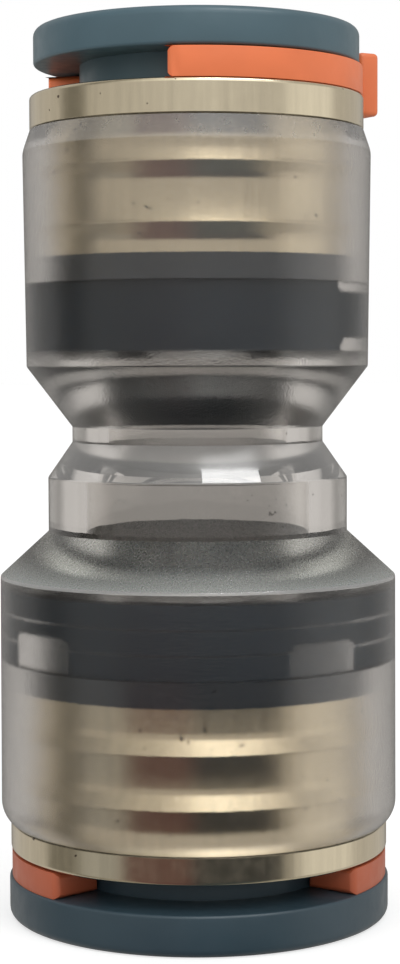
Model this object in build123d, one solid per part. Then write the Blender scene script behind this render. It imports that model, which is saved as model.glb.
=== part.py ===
from build123d import *

import os
from dataclasses import dataclass
from math import cos, radians, sin

# A push-in reducing coupling that joins a 12 mm microduct to a 14 mm one.
#
# A clear moulded body carries one port at each end. From the mouth inwards a port holds a
# collet with sprung fingers and steel claws, a clip that keeps the collet from being pressed,
# a barbed metal insert that the collet slides in, a spacer and a rubber seal. The collet's
# outer face is where the tube goes in, and the stop in the body is where it ends.
#
# The part stands on the large collet's face: Z is the common axis, upwards, and z = 0 is that
# face. Each port is drawn in its own frame, with z = 0 at its tube stop and z growing towards
# its mouth, and is then set in the body. All sizes are in millimetres.

# Tubes that the two ports take
SMALL_TUBE_DIAMETER = 12.0
LARGE_TUBE_DIAMETER = 14.0

# Radial clearances round the tube
POCKET_CLEARANCE = 0.10
COLLET_BORE_CLEARANCE = 0.15
GRIP_CLEARANCE = 0.03

# Body, along the axis
SMALL_POCKET_DEPTH = 3.82
LARGE_POCKET_DEPTH = 3.00
STOP_TO_STOP = 7.20
BRIDGE_SMALL_LENGTH = 3.20
BRIDGE_CONE_LENGTH = 0.60
LARGE_SHOULDER_RISE = 0.80
COLLAR_CONE_LENGTH = 2.60
COLLAR_LENGTH = 3.20
NECK_CONE_LENGTH = 2.07
NECK_LENGTH = 0.90
SMALL_SHOULDER_RISE = 0.92

# Body, across the axis
SMALL_BARREL_WALL = 1.175
LARGE_BARREL_WALL = 1.48
SMALL_BARREL_DRAFT = 0.16
LARGE_BARREL_DRAFT = 0.04
COLLAR_DIAMETER = 17.68
NECK_DIAMETER = 14.80
SMALL_STOP_LEDGE = 0.80
LARGE_STOP_LEDGE = 0.50
POCKET_LEAD_IN = 0.45
SMALL_MOUTH_TAPER_HEIGHT = 1.25
LARGE_MOUTH_TAPER_HEIGHT = 0.60
MOUTH_KNEE_FILLET = 1.60
SHOULDER_FILLET = 0.25

# Seals and spacers
SMALL_SEAL_THICKNESS = 2.30
LARGE_SEAL_THICKNESS = 2.60
SMALL_SEAL_HEIGHT = 3.93
LARGE_SEAL_HEIGHT = 4.20
SEAL_SQUEEZE_GAP = 0.02
SEAL_RIB_COUNT = 3
SEAL_GROOVE_DEPTH = 0.16
SEAL_GROOVE_HEIGHT = 0.12
SEAL_BACK_THICKNESS = 1.55
SEAL_LIP_SLOPE_HEIGHT = 1.30
SEAL_LIP_LAND = 0.40
SPACER_HEIGHT = 1.45
SPACER_CLEARANCE = 0.05
SPACER_CHAMFER = 0.20

# Metal inserts
SMALL_INSERT_DEPTH = 7.45
LARGE_INSERT_DEPTH = 8.05
SMALL_SOCKET_STEP = 0.75
LARGE_SOCKET_STEP = 0.65
SMALL_INSERT_LIP_INSET = 0.425
LARGE_INSERT_LIP_INSET = 0.55
SMALL_INSERT_LIP_HEIGHT = 2.00
LARGE_INSERT_LIP_HEIGHT = 1.65
SMALL_FIRST_BARB = 1.75
LARGE_FIRST_BARB = 2.70
SMALL_BARB_PITCH = 3.35
LARGE_BARB_PITCH = 3.05
SMALL_BARB_CONE_LENGTH = 0.75
LARGE_BARB_CONE_LENGTH = 0.95
BARB_HEIGHT = 0.35
BARB_CREST_WIDTH = 0.12
BARB_CLEARANCE = 0.02
INSERT_MOUTH_LENGTH = 3.40
INSERT_CONE_LENGTH = 2.45
INSERT_END_WALL = 0.60
INSERT_EDGE_CHAMFER = 0.22

# Collets
COLLET_NECK_WALL = 0.70
SLIDE_CLEARANCE = 0.10
SMALL_FLANGE_OVERHANG = -0.25
LARGE_FLANGE_OVERHANG = 0.10
SMALL_FLANGE_HEIGHT = 2.15
LARGE_FLANGE_HEIGHT = 2.40
FLANGE_OUTER_ROUNDING = 0.50
FLANGE_INNER_ROUNDING = 0.18
FLANGE_LEAD_IN = 0.60
SMALL_PRESS_TRAVEL = 1.60
LARGE_PRESS_TRAVEL = 1.40
TRAVEL_RESERVE = 0.20
HEAD_LENGTH = 1.70
HEAD_CONE_LENGTH = 2.20
HEAD_CLEARANCE = 0.22
HEAD_TIP_CHAMFER = 0.40
SMALL_FINGER_COUNT = 6
LARGE_FINGER_COUNT = 8
FINGER_SLOT_WIDTH = 0.90
FINGER_SLOT_TOP_MARGIN = 0.70
FINGER_RELIEF = 0.25

# Claws
CLAW_THICKNESS = 0.40
CLAW_REACH = 1.25
CLAW_SLANT_DEGREES = 50.0
CLAW_SIDE_MARGIN_DEGREES = 6.0
CLAW_TIP_DEPTH = 0.60

# Locking clips
SMALL_CLIP_THICKNESS = 1.68
LARGE_CLIP_THICKNESS = 1.50
CLIP_PLAY = 0.10
CLIP_BORE_CLEARANCE = 0.05
CLIP_INSET = 0.05
SMALL_CLIP_GAP_DEGREES = 102.0
LARGE_CLIP_GAP_DEGREES = 98.0
CLIP_END_ROUNDING = 0.35
CLIP_EDGE_ROUNDING = 0.15
SMALL_CLIP_AZIMUTH = 29.5
LARGE_CLIP_AZIMUTH = 93.0
TAB_WIDTH = 5.00
SMALL_TAB_THICKNESS = 1.38
LARGE_TAB_THICKNESS = 1.20
TAB_CLEARANCE = 0.10
TAB_ABOVE_CLIP = 1.35
TAB_BELOW_CLIP = 0.75
TAB_ROUNDING = 0.30


@dataclass
class Port:
    """Sizes of one port in its own frame: z = 0 at the tube stop, z grows towards the mouth."""

    name: str
    tube_radius: float
    pocket_depth: float
    stop_ledge: float
    seal_thickness: float
    seal_height: float
    socket_step: float
    barrel_wall: float
    barrel_draft: float
    shoulder_rise: float
    taper_height: float
    insert_depth: float
    first_barb: float
    barb_pitch: float
    barb_cone_length: float
    lip_inset: float
    lip_height: float
    clip_thickness: float
    clip_lift: float
    clip_gap: float
    clip_azimuth: float
    tab_thickness: float
    flange_overhang: float
    flange_height: float
    press_travel: float
    finger_count: int

    def __post_init__(self):
        self.bore_radius = self.tube_radius + POCKET_CLEARANCE
        self.ledge_radius = self.bore_radius - self.stop_ledge
        self.grip_radius = self.tube_radius + GRIP_CLEARANCE
        self.collet_bore_radius = self.tube_radius + COLLET_BORE_CLEARANCE
        self.finger_bore_radius = self.collet_bore_radius + FINGER_RELIEF
        self.neck_radius = self.collet_bore_radius + COLLET_NECK_WALL
        self.seat_radius = self.tube_radius + self.seal_thickness
        self.socket_radius = self.seat_radius + self.socket_step
        self.land_radius = self.socket_radius - BARB_HEIGHT
        self.barrel_radius = self.socket_radius + self.barrel_wall
        self.lip_radius = self.barrel_radius - self.lip_inset
        self.flange_radius = self.lip_radius + self.flange_overhang
        self.insert_mouth_radius = self.neck_radius + SLIDE_CLEARANCE
        self.chamber_radius = self.land_radius - INSERT_END_WALL
        self.head_radius = self.chamber_radius - HEAD_CLEARANCE

        self.seal_floor = self.pocket_depth
        self.shoulder = self.seal_floor - self.shoulder_rise
        self.spacer_floor = self.seal_floor + self.seal_height
        self.insert_floor = self.spacer_floor + SPACER_HEIGHT
        self.mouth = self.insert_floor + self.insert_depth
        self.lip_top = self.mouth + self.lip_height
        self.clip_floor = self.lip_top + self.clip_lift
        self.flange_floor = self.lip_top + CLIP_PLAY + self.clip_thickness
        self.face = self.flange_floor + self.flange_height
        self.finger_tip = self.insert_floor + self.press_travel + TRAVEL_RESERVE
        self.slot_top = self.lip_top - FINGER_SLOT_TOP_MARGIN
        self.finger_pitch = 360.0 / self.finger_count


small = Port(
    name="small",
    tube_radius=SMALL_TUBE_DIAMETER / 2,
    pocket_depth=SMALL_POCKET_DEPTH,
    stop_ledge=SMALL_STOP_LEDGE,
    seal_thickness=SMALL_SEAL_THICKNESS,
    seal_height=SMALL_SEAL_HEIGHT,
    socket_step=SMALL_SOCKET_STEP,
    barrel_wall=SMALL_BARREL_WALL,
    barrel_draft=SMALL_BARREL_DRAFT,
    shoulder_rise=SMALL_SHOULDER_RISE,
    taper_height=SMALL_MOUTH_TAPER_HEIGHT,
    insert_depth=SMALL_INSERT_DEPTH,
    first_barb=SMALL_FIRST_BARB,
    barb_pitch=SMALL_BARB_PITCH,
    barb_cone_length=SMALL_BARB_CONE_LENGTH,
    lip_inset=SMALL_INSERT_LIP_INSET,
    lip_height=SMALL_INSERT_LIP_HEIGHT,
    clip_thickness=SMALL_CLIP_THICKNESS,
    clip_lift=0.0,
    clip_gap=SMALL_CLIP_GAP_DEGREES,
    clip_azimuth=SMALL_CLIP_AZIMUTH,
    tab_thickness=SMALL_TAB_THICKNESS,
    flange_overhang=SMALL_FLANGE_OVERHANG,
    flange_height=SMALL_FLANGE_HEIGHT,
    press_travel=SMALL_PRESS_TRAVEL,
    finger_count=SMALL_FINGER_COUNT,
)
large = Port(
    name="large",
    tube_radius=LARGE_TUBE_DIAMETER / 2,
    pocket_depth=LARGE_POCKET_DEPTH,
    stop_ledge=LARGE_STOP_LEDGE,
    seal_thickness=LARGE_SEAL_THICKNESS,
    seal_height=LARGE_SEAL_HEIGHT,
    socket_step=LARGE_SOCKET_STEP,
    barrel_wall=LARGE_BARREL_WALL,
    barrel_draft=LARGE_BARREL_DRAFT,
    shoulder_rise=LARGE_SHOULDER_RISE,
    taper_height=LARGE_MOUTH_TAPER_HEIGHT,
    insert_depth=LARGE_INSERT_DEPTH,
    first_barb=LARGE_FIRST_BARB,
    barb_pitch=LARGE_BARB_PITCH,
    barb_cone_length=LARGE_BARB_CONE_LENGTH,
    lip_inset=LARGE_INSERT_LIP_INSET,
    lip_height=LARGE_INSERT_LIP_HEIGHT,
    clip_thickness=LARGE_CLIP_THICKNESS,
    clip_lift=CLIP_PLAY,
    clip_gap=LARGE_CLIP_GAP_DEGREES,
    clip_azimuth=LARGE_CLIP_AZIMUTH,
    tab_thickness=LARGE_TAB_THICKNESS,
    flange_overhang=LARGE_FLANGE_OVERHANG,
    flange_height=LARGE_FLANGE_HEIGHT,
    press_travel=LARGE_PRESS_TRAVEL,
    finger_count=LARGE_FINGER_COUNT,
)

LARGE_STOP_HEIGHT = large.face
SMALL_STOP_HEIGHT = LARGE_STOP_HEIGHT + STOP_TO_STOP


def height_in_coupling(port, z):
    """Height above the large face of a point at z in the port's own frame."""
    if port is large:
        return LARGE_STOP_HEIGHT - z
    return SMALL_STOP_HEIGHT + z


def set_in_coupling(port, piece):
    """Moves a piece from the port's own frame to its place in the coupling."""
    if port is large:
        return Pos(0, 0, LARGE_STOP_HEIGHT) * Rot(180, 0, 0) * piece
    return Pos(0, 0, SMALL_STOP_HEIGHT) * piece


def turned(corners):
    """Solid of revolution about Z. A corner is (radius, z), or (radius, z, rounding)."""
    points = [(corner[0], 0, corner[1]) for corner in corners]
    roundings = [corner[2] if len(corner) == 3 else 0 for corner in corners]
    section = make_face(FilletPolyline(*points, radius=roundings, close=True))
    return revolve(section, Axis.Z)


def barrel_outline(port):
    """Outer corners of one barrel of the body, from its shoulder to its mouth."""
    foot_radius = port.barrel_radius - port.barrel_draft
    return [
        (foot_radius, port.shoulder, SHOULDER_FILLET),
        (port.barrel_radius, port.mouth - port.taper_height, MOUTH_KNEE_FILLET),
        (port.lip_radius, port.mouth),
    ]


def socket_outline(port):
    """Inner corners of one port of the body, from its mouth to the ledge at its stop."""
    return [
        (port.socket_radius, port.mouth),
        (port.socket_radius, port.spacer_floor),
        (port.seat_radius, port.spacer_floor),
        (port.seat_radius, port.seal_floor),
        (port.bore_radius + POCKET_LEAD_IN, port.seal_floor),
        (port.bore_radius, port.seal_floor - POCKET_LEAD_IN),
        (port.bore_radius, 0),
        (port.ledge_radius, 0),
    ]


def in_coupling(port, corners):
    """The same corners, at their heights in the coupling."""
    return [(corner[0], height_in_coupling(port, corner[1]), *corner[2:]) for corner in corners]


def make_body():
    """One clear moulding: large barrel, collar, neck and small barrel, bored from end to end."""
    collar_foot = height_in_coupling(large, large.shoulder) + COLLAR_CONE_LENGTH
    collar_top = collar_foot + COLLAR_LENGTH
    neck_foot = collar_top + NECK_CONE_LENGTH
    waist = [
        (COLLAR_DIAMETER / 2, collar_foot),
        (COLLAR_DIAMETER / 2, collar_top, SHOULDER_FILLET),
        (NECK_DIAMETER / 2, neck_foot),
        (NECK_DIAMETER / 2, neck_foot + NECK_LENGTH),
    ]
    bridge_step = SMALL_STOP_HEIGHT - BRIDGE_SMALL_LENGTH
    bridge = [
        (small.ledge_radius, bridge_step),
        (large.ledge_radius, bridge_step - BRIDGE_CONE_LENGTH),
    ]
    return turned(
        in_coupling(large, barrel_outline(large))[::-1]
        + waist
        + in_coupling(small, barrel_outline(small))
        + in_coupling(small, socket_outline(small))
        + bridge
        + in_coupling(large, socket_outline(large))[::-1]
    )


def make_seal(port):
    """Rubber ring: ribs outside, against the body, and a sloped lip inside, against the tube."""
    outer = port.seat_radius - SEAL_SQUEEZE_GAP
    inner = outer - SEAL_BACK_THICKNESS
    corners = [(outer, port.seal_floor)]
    rib_pitch = port.seal_height / SEAL_RIB_COUNT
    for groove in range(1, SEAL_RIB_COUNT):
        middle = port.seal_floor + groove * rib_pitch
        corners += [
            (outer, middle - SEAL_GROOVE_HEIGHT / 2),
            (outer - SEAL_GROOVE_DEPTH, middle - SEAL_GROOVE_HEIGHT / 4),
            (outer - SEAL_GROOVE_DEPTH, middle + SEAL_GROOVE_HEIGHT / 4),
            (outer, middle + SEAL_GROOVE_HEIGHT / 2),
        ]
    lip_top = port.spacer_floor - SEAL_LIP_SLOPE_HEIGHT
    corners += [
        (outer, port.spacer_floor),
        (inner, port.spacer_floor),
        (port.grip_radius, lip_top),
        (port.grip_radius, lip_top - SEAL_LIP_LAND),
        (inner, lip_top - SEAL_LIP_LAND - SEAL_LIP_SLOPE_HEIGHT),
        (inner, port.seal_floor),
    ]
    return turned(corners)


def make_spacer(port):
    """Flat ring on the body's step. It holds the seal down and carries the insert."""
    outer = port.socket_radius - SPACER_CLEARANCE
    floor = port.spacer_floor
    top = port.insert_floor
    return turned(
        [
            (port.bore_radius, floor + SPACER_CHAMFER),
            (port.bore_radius + SPACER_CHAMFER, floor),
            (outer, floor),
            (outer, top),
            (port.bore_radius + SPACER_CHAMFER, top),
            (port.bore_radius, top - SPACER_CHAMFER),
        ]
    )


def make_insert(port):
    """Turned metal ring: barbs that bite the body, and a cone inside that closes the collet."""
    crest = port.socket_radius - BARB_CLEARANCE
    chamfer = INSERT_EDGE_CHAMFER
    corners = [(port.land_radius, port.insert_floor)]
    barb_count = int((port.insert_depth - port.first_barb) / port.barb_pitch) + 1
    for barb in range(barb_count):
        top = port.insert_floor + port.first_barb + barb * port.barb_pitch
        corners += [
            (port.land_radius, top - BARB_CREST_WIDTH - port.barb_cone_length),
            (crest, top - BARB_CREST_WIDTH),
            (crest, top),
            (port.land_radius, top),
        ]
    cone_top = port.lip_top - INSERT_MOUTH_LENGTH
    corners += [
        (port.land_radius, port.mouth),
        (port.lip_radius - chamfer / 2, port.mouth),
        (port.lip_radius, port.mouth + chamfer / 2),
        (port.lip_radius, port.lip_top - chamfer),
        (port.lip_radius - chamfer, port.lip_top),
        (port.insert_mouth_radius + chamfer, port.lip_top),
        (port.insert_mouth_radius, port.lip_top - chamfer),
        (port.insert_mouth_radius, cone_top),
        (port.chamber_radius, cone_top - INSERT_CONE_LENGTH),
        (port.chamber_radius, port.insert_floor),
    ]
    return turned(corners)


def make_collet_blank(port):
    """The collet before its slots and claws: flange, neck and the wedge-shaped head."""
    head_top = port.finger_tip + HEAD_LENGTH
    return turned(
        [
            (port.finger_bore_radius, port.finger_tip),
            (port.head_radius - HEAD_TIP_CHAMFER, port.finger_tip),
            (port.head_radius, port.finger_tip + HEAD_TIP_CHAMFER),
            (port.head_radius, head_top),
            (port.neck_radius, head_top + HEAD_CONE_LENGTH),
            (port.neck_radius, port.flange_floor),
            (port.flange_radius, port.flange_floor, FLANGE_INNER_ROUNDING),
            (port.flange_radius, port.face, FLANGE_OUTER_ROUNDING),
            (port.collet_bore_radius + FLANGE_LEAD_IN, port.face),
            (port.collet_bore_radius, port.face - FLANGE_LEAD_IN),
            (port.collet_bore_radius, port.slot_top),
            (port.finger_bore_radius, port.slot_top - FINGER_RELIEF),
        ]
    )


def make_finger_slot(port):
    """One slot between two fingers, on the +X side, with a round upper end."""
    reach = port.head_radius + SLIDE_CLEARANCE
    width = FINGER_SLOT_WIDTH
    round_height = port.slot_top - width / 2
    slot_height = round_height - port.finger_tip
    straight = Pos(reach / 2, 0, port.finger_tip + slot_height / 2) * Box(reach, width, slot_height)
    round_end = Pos(reach / 2, 0, round_height) * Rot(0, 90, 0) * Cylinder(width / 2, reach)
    return straight + round_end


def make_claw(port):
    """One steel claw, set in a finger on the +X side: a slanted blade that bites the tube."""
    slant = radians(CLAW_SLANT_DEGREES)
    tip = (port.grip_radius, port.finger_tip + CLAW_TIP_DEPTH)
    along = (CLAW_REACH * sin(slant), CLAW_REACH * cos(slant))
    across = (CLAW_THICKNESS * cos(slant), -CLAW_THICKNESS * sin(slant))
    corners = [
        tip,
        (tip[0] + along[0], tip[1] + along[1]),
        (tip[0] + along[0] + across[0], tip[1] + along[1] + across[1]),
        (tip[0] + across[0], tip[1] + across[1]),
    ]
    section = make_face(Polyline(*[(radius, 0, z) for radius, z in corners], close=True))
    width = port.finger_pitch - 2 * CLAW_SIDE_MARGIN_DEGREES
    return revolve(Rot(0, 0, -width / 2) * section, Axis.Z, revolution_arc=width)


def make_claws(port):
    """All claws of one collet, one for each finger."""
    claw = make_claw(port)
    return [Rot(0, 0, finger * port.finger_pitch) * claw for finger in range(port.finger_count)]


def make_collet(port):
    """Collet with its slots cut and a seat for each claw."""
    collet = make_collet_blank(port)
    slot = make_finger_slot(port)
    for finger in range(port.finger_count):
        collet -= Rot(0, 0, (finger + 0.5) * port.finger_pitch) * slot
    for claw in make_claws(port):
        collet -= claw
    return collet


def make_clip_ring(port):
    """The clip's open ring, lying between the insert and the collet's flange."""
    inner = port.neck_radius + CLIP_BORE_CLEARANCE
    outer = port.lip_radius - CLIP_INSET
    half_gap = radians(port.clip_gap / 2)
    far = 2 * outer
    opening = make_face(
        Polyline(
            (0, 0),
            (-far * cos(half_gap), far * sin(half_gap)),
            (-far * cos(half_gap), -far * sin(half_gap)),
            close=True,
        )
    )
    outline = Circle(outer) - Circle(inner) - opening
    outline = fillet(outline.vertices(), CLIP_END_ROUNDING)
    ring = Pos(0, 0, port.clip_floor) * extrude(outline, port.clip_thickness)
    rims = ring.edges().filter_by(GeomType.CIRCLE).filter_by(
        lambda edge: abs(edge.radius - outer) < CLIP_EDGE_ROUNDING
    )
    return fillet(rims, CLIP_EDGE_ROUNDING)


def make_clip_tab(port):
    """The clip's finger tab on the +X side. It stands over the rims of flange and insert."""
    inner = max(port.flange_radius, port.lip_radius) + TAB_CLEARANCE
    middle = inner + port.tab_thickness / 2
    floor = port.clip_floor - TAB_BELOW_CLIP
    height = TAB_BELOW_CLIP + port.clip_thickness + TAB_ABOVE_CLIP
    plate = Pos(middle, 0, floor + height / 2) * Box(port.tab_thickness, TAB_WIDTH, height)
    plate = fillet(plate.edges(), TAB_ROUNDING)
    root = Pos(middle / 2, 0) * Rectangle(middle, TAB_WIDTH - 2 * TAB_ROUNDING)
    root -= Circle(port.lip_radius - 2 * CLIP_INSET)
    return plate + Pos(0, 0, port.clip_floor) * extrude(root, port.clip_thickness)


def make_clip(port):
    """Locking clip: an open ring with a finger tab opposite its opening."""
    return make_clip_ring(port) + make_clip_tab(port)


def make_port_pieces(port):
    """Every piece of one port, by name, at its place in the coupling."""
    pieces = {
        "insert_ring": make_insert(port),
        "seal_ring": make_seal(port),
        "spacer_ring": make_spacer(port),
        "collet": make_collet(port),
    }
    for number, claw in enumerate(make_claws(port), start=1):
        pieces[f"claw_{number}"] = claw
    placed = {
        f"{port.name}_{name}": set_in_coupling(port, piece) for name, piece in pieces.items()
    }
    clip = set_in_coupling(port, make_clip(port))
    placed[f"{port.name}_locking_clip"] = Rot(0, 0, port.clip_azimuth) * clip
    return placed


os.makedirs("parts", exist_ok=True)
coupling = {"coupling_body": make_body()} | make_port_pieces(large) | make_port_pieces(small)
for name, piece in coupling.items():
    export_step(piece, f"parts/{name}.step")
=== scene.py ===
"""A clear push-in reducing coupling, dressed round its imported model.

The coupling stands on its large collet, with +Z along its axis. Lengths are in metres. A port
is described by levels, its distances from the ledge where the tube stops, which grow towards
the mouth, so one set of outlines serves both ports.
"""

from math import atan2, pi, radians, sin, tan

import bpy
from bpy.props import FloatProperty, FloatVectorProperty, IntProperty, PointerProperty
from bpy.types import Operator, Panel, PropertyGroup
from mathutils import Matrix, Vector


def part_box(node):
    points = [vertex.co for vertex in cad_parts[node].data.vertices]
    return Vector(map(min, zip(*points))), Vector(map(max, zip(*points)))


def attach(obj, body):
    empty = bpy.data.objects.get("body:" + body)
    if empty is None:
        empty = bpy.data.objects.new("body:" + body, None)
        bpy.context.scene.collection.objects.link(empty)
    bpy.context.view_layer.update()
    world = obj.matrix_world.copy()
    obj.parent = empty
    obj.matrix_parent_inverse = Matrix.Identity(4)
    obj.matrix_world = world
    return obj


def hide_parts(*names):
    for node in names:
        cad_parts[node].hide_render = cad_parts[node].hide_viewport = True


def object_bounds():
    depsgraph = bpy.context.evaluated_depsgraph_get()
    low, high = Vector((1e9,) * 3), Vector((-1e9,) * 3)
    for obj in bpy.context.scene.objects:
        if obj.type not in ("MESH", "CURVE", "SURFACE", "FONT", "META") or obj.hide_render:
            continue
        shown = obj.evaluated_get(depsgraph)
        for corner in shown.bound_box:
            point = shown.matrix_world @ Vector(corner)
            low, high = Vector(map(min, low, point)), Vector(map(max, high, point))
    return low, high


bl_info = {
    "name": "Reducing coupling",
    "version": (1, 0, 0),
    "blender": (4, 5, 0),
    "location": "View3D > Sidebar > Coupling",
    "description": "Models and finishes a clear push-in reducing coupling",
    "category": "Object",
}

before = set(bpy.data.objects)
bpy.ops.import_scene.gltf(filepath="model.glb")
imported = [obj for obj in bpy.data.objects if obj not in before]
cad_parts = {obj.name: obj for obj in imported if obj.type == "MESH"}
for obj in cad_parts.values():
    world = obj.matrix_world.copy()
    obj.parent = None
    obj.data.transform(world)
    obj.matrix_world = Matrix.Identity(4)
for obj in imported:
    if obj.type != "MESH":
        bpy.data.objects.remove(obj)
cad_low, cad_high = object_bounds()

MM = 0.001

# The two ports, the way each one faces, and the depth of its pocket under the seal
PORTS = ("large", "small")
OUTWARD = {"large": -1, "small": 1}
POCKET_DEPTH = {"large": 3.00 * MM, "small": 3.82 * MM}

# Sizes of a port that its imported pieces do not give, in millimetres: large, then small
PORT_SIZES = (
    ("tube_radius", "Radius of the tube that the port takes", 7.0, 6.0),
    ("ledge_radius", "Radius of the bore past the tube's stop", 6.6, 5.3),
    ("barrel_radius", "Radius of the body's barrel near its mouth", 11.73, 10.225),
    ("foot_radius", "Radius of the barrel at its shoulder", 11.69, 10.065),
    ("shoulder", "Level where the barrel meets its cone", 2.20, 2.90),
    ("taper", "Height of the barrel's tapered mouth", 0.60, 1.25),
    ("lip_height", "Height of the insert's lip", 1.65, 2.00),
    ("first_barb", "Distance from the insert's inner end to its first barb", 2.70, 1.75),
    ("barb_pitch", "Distance from one barb to the next", 3.05, 3.35),
    ("barb_cone", "Height of the cone below a barb's crest", 0.95, 0.75),
    ("flange_height", "Height of the collet's flange", 2.40, 2.15),
    ("clip_thickness", "Thickness of the locking clip", 1.50, 1.68),
    ("clip_lift", "Distance of the clip from the insert's lip", 0.10, 0.0),
    ("tab_thickness", "Thickness of the clip's tab", 1.20, 1.38),
)

# Clearances and walls round the tube
POCKET_CLEARANCE = 0.10 * MM
COLLET_BORE_CLEARANCE = 0.15 * MM
NECK_WALL = 0.70 * MM
SLIDE_CLEARANCE = 0.10 * MM
FINGER_RELIEF = 0.25 * MM

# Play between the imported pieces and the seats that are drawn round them
SEAT_PLAY = 0.02 * MM
SOCKET_PLAY = 0.05 * MM

# Body
POCKET_LEAD_IN = 0.45 * MM
RIM_HEIGHT = 0.90 * MM
SHOULDER_ROUNDING = 0.25 * MM
KNEE_ROUNDING = 1.60 * MM

# Heights above the collar between which its cone goes from polished to dull
DULL_FROM = 0.60 * MM
DULL_TO = 0.95 * MM

# Numbers of the body's finishes, in the order in which it gets its materials
FROSTED, POLISHED, HAZY, WIPED, SHOULDER, MOUTH = range(6)

# Meshes
SEGMENTS = 224
CLIP_SEGMENTS = 108
SLOT_SEGMENTS = 32
MERGE_DISTANCE = 0.0005 * MM
ANGLE_TOLERANCE = 0.001
SMOOTH_ANGLE = 28
CLIP_SMOOTH_ANGLE = 40

# Insert
BARB_HEIGHT = 0.35 * MM
BARB_HOLLOW = 1.60 * MM
BARB_CREST = 0.12 * MM
BARB_CLEARANCE = 0.02 * MM
INSERT_MOUTH = 3.40 * MM
INSERT_CONE = 2.45 * MM
INSERT_WALL = 0.60 * MM
INSERT_CHAMFER = 0.22 * MM
RIM_ROW = 1.1 * INSERT_CHAMFER
EDGE_BREAK = 0.05 * MM

# Seal and spacer
SEAL_CONTACT = 0.03 * MM
GROOVE_DEPTH = 0.16 * MM
GROOVE_HEIGHT = 0.08 * MM
SEAL_BACK = 1.55 * MM
SEAL_GRIP = 0.03 * MM
SEAL_SLOPE = 1.30 * MM
SEAL_LAND = 0.40 * MM
SEAL_ROW = 0.15 * MM
POCKET_GAP = 0.12 * MM
POCKET_CORNER = 0.60 * MM
SPACER_CHAMFER = 0.20 * MM

# Places where a seal stands clear of the body: the direction of the middle in degrees from the
# camera's side, positive to the right, the width in degrees, and the lower and upper height
SEAL_POCKETS = {
    "large": ((-57, 26, 14.40, 17.10), (43, 26, 14.95, 16.95)),
    "small": ((77, 34, 36.75, 37.60), (79, 34, 33.10, 34.05)),
}

# Collet
HEAD_LENGTH = 1.70 * MM
HEAD_CONE = 2.20 * MM
HEAD_CLEARANCE = 0.22 * MM
HEAD_CHAMFER = 0.40 * MM
FLANGE_OUTER_ROUNDING = 0.50 * MM
FLANGE_INNER_ROUNDING = 0.18 * MM
FLANGE_LEAD_IN = 0.60 * MM
SLOT_WIDTH = 0.90 * MM
SLOT_MARGIN = 0.70 * MM

# Clip
CLIP_BORE_CLEARANCE = 0.05 * MM
CLIP_INSET = 0.05 * MM
CLIP_END_ROUNDING = 0.35 * MM
CLIP_EDGE_ROUNDING = 0.15 * MM
CLIP_ROOT = 0.40 * MM
TAB_WIDTH = 5.00 * MM
TAB_CLEARANCE = 0.10 * MM
TAB_ABOVE = 1.35 * MM
TAB_BELOW = 0.75 * MM
TAB_ROUNDING = 0.30 * MM

# Finishes: the clear plastic's refraction, the range of values that noise mostly has, and the
# value at which a speck starts, with the step over which it comes in
REFRACTION = 1.58
NOISE_LOW = 0.3
NOISE_HIGH = 0.7
SPECK_START = 0.765
SPECK_EDGE = 0.02

# Stage
CAMERA_PLACE = (0.14 * MM, -128.0 * MM, 32.7 * MM)
CAMERA_PITCH = 3.18
CAMERA_ROLL = -0.19
CAMERA_LENS = 80.66
FLOOR_SIZE = 6.0
FLOOR_GLOW = 0.60

# Turn of the window lamp in degrees, which squares its highlight on the neck's cone
WINDOW_TURN = -23


def stop_height(name):
    """Height of the ledge where a port's tube stops, one pocket depth inside the seal."""
    low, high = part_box(f"{name}_seal_ring")
    inner_end = low.z if OUTWARD[name] > 0 else high.z
    return inner_end - OUTWARD[name] * POCKET_DEPTH[name]


def measured(name, piece):
    """Outer radius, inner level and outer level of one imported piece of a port."""
    low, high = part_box(f"{name}_{piece}")
    levels = [OUTWARD[name] * (z - stop_height(name)) for z in (low.z, high.z)]
    return high.x, min(levels), max(levels)


def length(name, description, metres):
    """A length property, shown in the scene's units."""
    return FloatProperty(
        name=name,
        description=description,
        default=metres,
        precision=5,
        subtype="DISTANCE",
        unit="LENGTH",
    )


def angle(name, description, degree):
    """An angle property."""
    return FloatProperty(
        name=name,
        description=description,
        default=radians(degree),
        subtype="ANGLE",
        unit="ROTATION",
    )


def count(name, description, number):
    """A whole-number property."""
    return IntProperty(name=name, description=description, default=number)


def colour(name, description, red, green, blue):
    """A linear colour property."""
    return FloatVectorProperty(
        name=name,
        description=description,
        default=(red, green, blue),
        min=0.0,
        max=1.0,
        size=3,
        subtype="COLOR",
    )


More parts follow.
